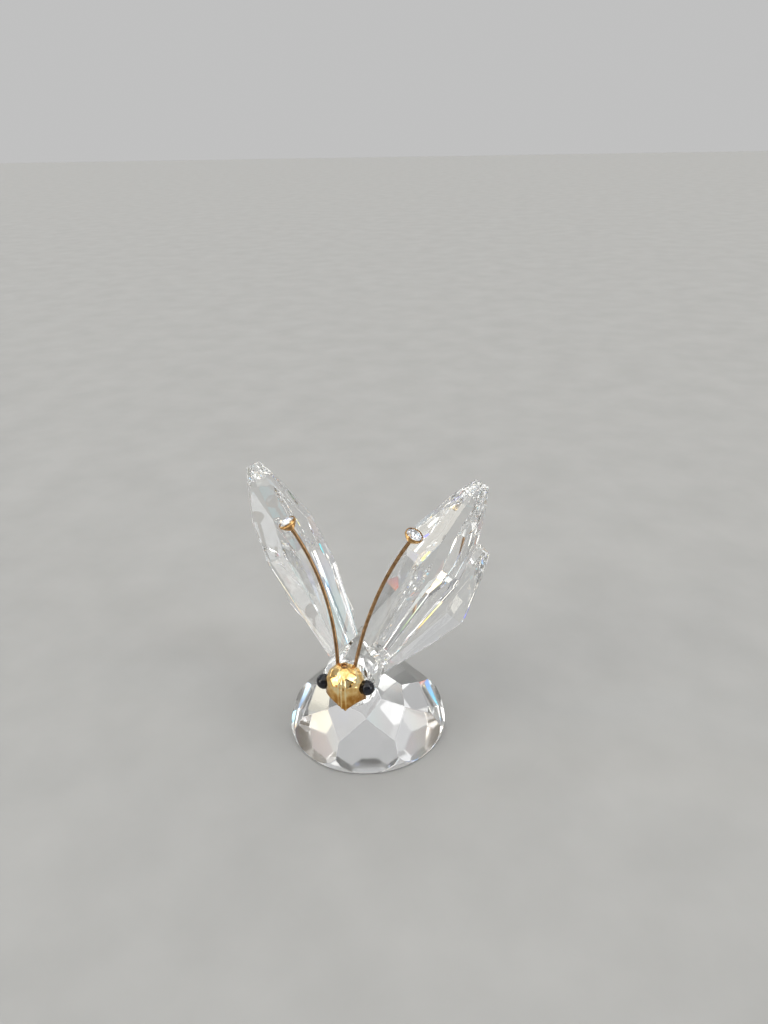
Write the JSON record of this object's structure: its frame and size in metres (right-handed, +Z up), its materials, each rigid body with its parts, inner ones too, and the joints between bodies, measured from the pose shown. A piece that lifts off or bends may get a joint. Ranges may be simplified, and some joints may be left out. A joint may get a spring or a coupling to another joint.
{
  "type": "crystal butterfly ornament",
  "caption": "Clear cut-crystal butterfly with faceted wings, gold head cap, black bead eyes and stone-tipped wire antennae, bonded to a round faceted dome with a flat underside.",
  "frame": {"origin": "centre of the dome's flat underside", "axes": "+Z up from the underside through the dome's axis; the butterfly's head looks to -Y; +X is to the right of someone who looks at the head"},
  "size_m": [0.0426, 0.0309, 0.0512],
  "materials": {
    "crystal": "cut and polished",
    "adhesive": "clear cured film",
    "gold": "polished gold plate",
    "filling": "cast resin",
    "eye_bead": "polished black",
    "stone": "cut and polished"
  },
  "bodies": {
    "root": {"base": "crystal", "body": "crystal", "base_bond": "adhesive", "forewing_left": "crystal", "forewing_right": "crystal", "forewing_bond_left": "adhesive", "forewing_bond_right": "adhesive", "hindwing_left": "crystal", "hindwing_right": "crystal", "hindwing_bond_left": "adhesive", "hindwing_bond_right": "adhesive", "head_cap": "gold", "crown_tube": "gold", "head_plug": "filling", "eye_left": "eye_bead", "eye_right": "eye_bead", "antenna_left": "gold", "antenna_right": "gold", "cup_left": "gold", "cup_right": "gold", "stone_left": "stone", "stone_right": "stone"}
  },
  "joints": []
}
